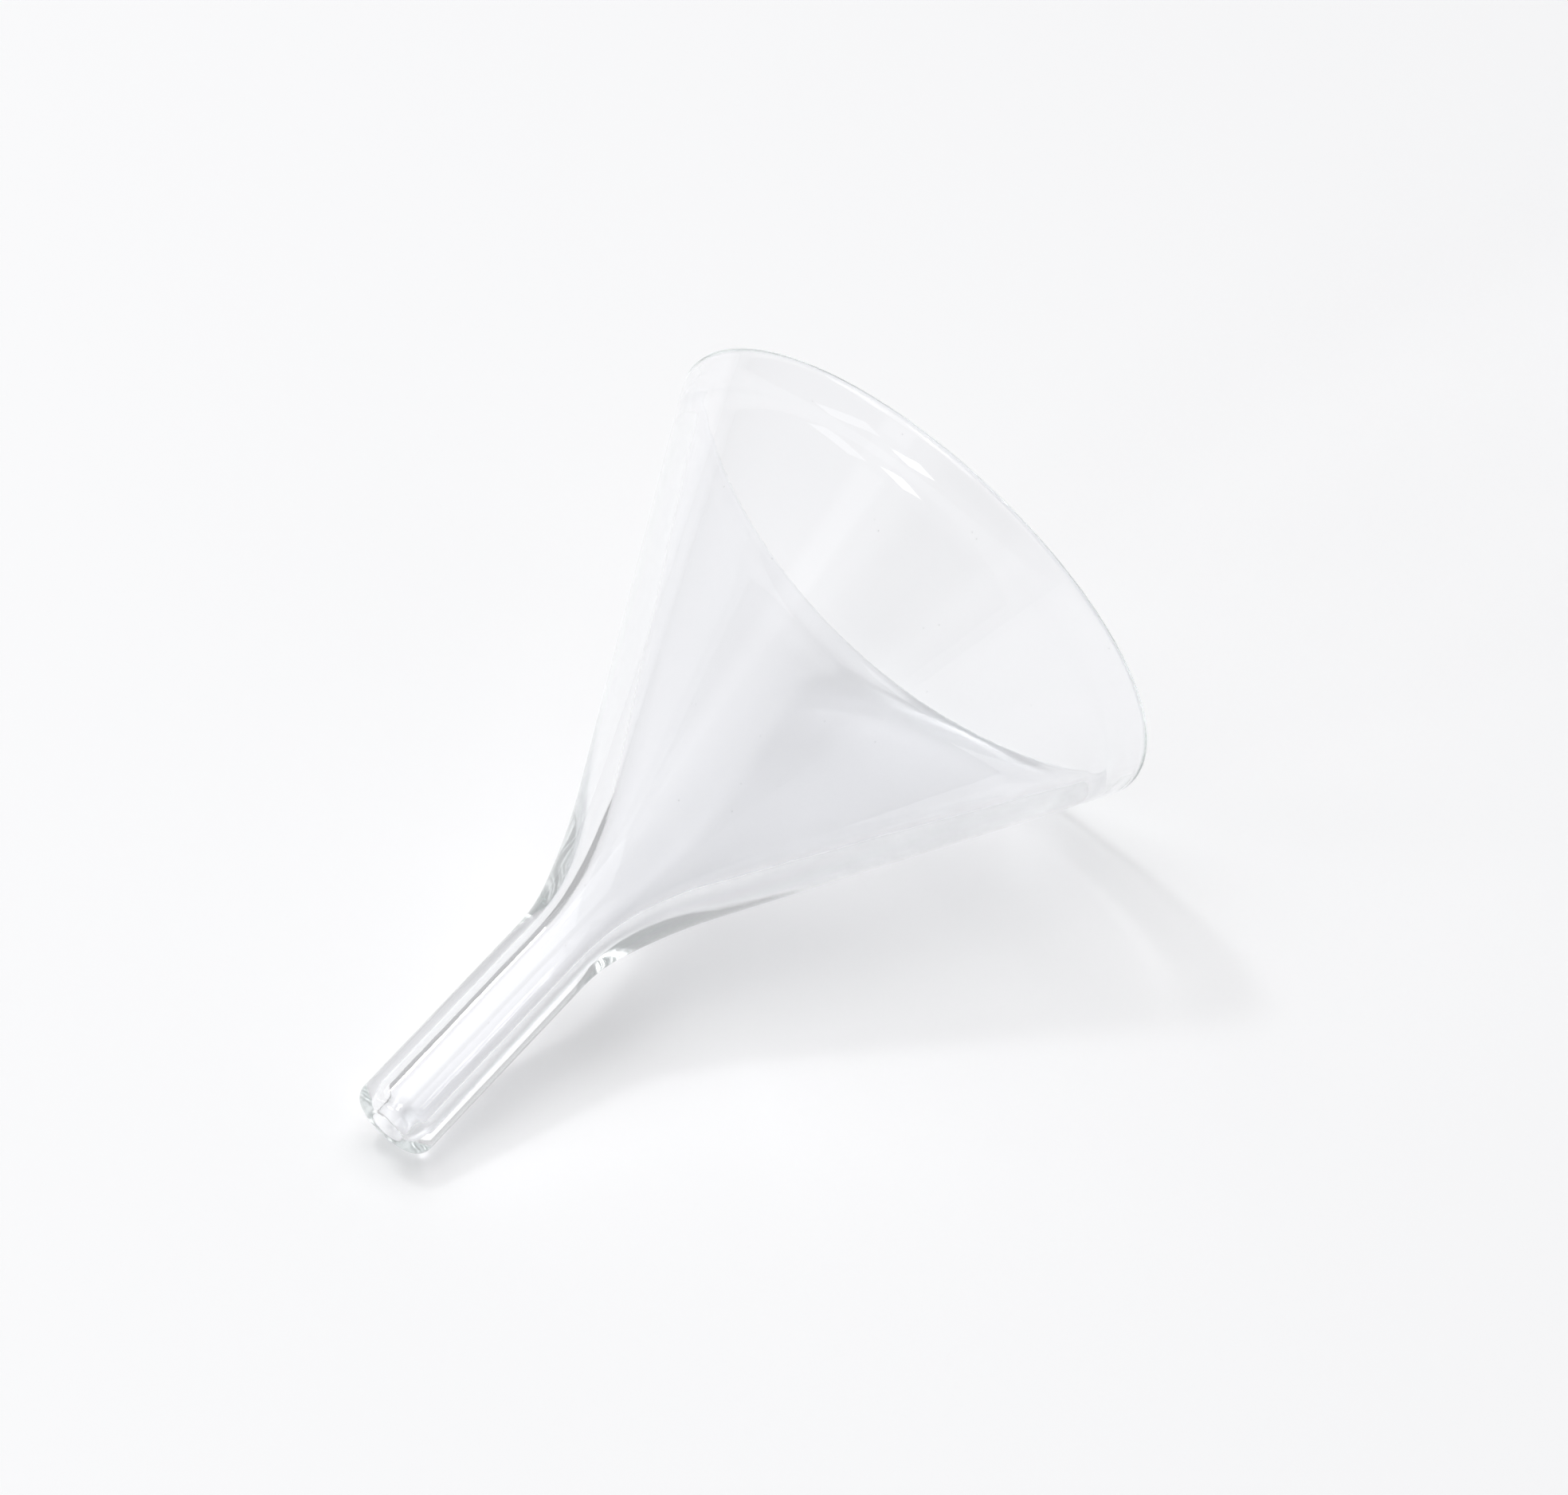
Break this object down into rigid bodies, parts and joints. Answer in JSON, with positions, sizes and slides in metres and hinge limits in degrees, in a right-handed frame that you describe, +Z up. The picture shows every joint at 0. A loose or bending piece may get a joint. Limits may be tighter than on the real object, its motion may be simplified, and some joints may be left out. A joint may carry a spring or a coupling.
{
  "type": "conical glass filter funnel",
  "caption": "Small clear glass funnel: straight-sided cone with a rounded, fire-polished rim, swept neck and short thick-walled stem, for filtering and pouring into narrow necks.",
  "frame": {"origin": "under the middle of the funnel's box, on the surface that it lies on", "axes": "+Z up, +X along the lying funnel towards its mouth; the funnel's axis lies in the XZ plane and rises towards the mouth"},
  "size_m": [0.0776, 0.055, 0.0522],
  "materials": {
    "clear_glass": "clear, smooth, fire-polished, faint green at the edges"
  },
  "bodies": {
    "root": {"funnel": "clear_glass"}
  },
  "joints": []
}
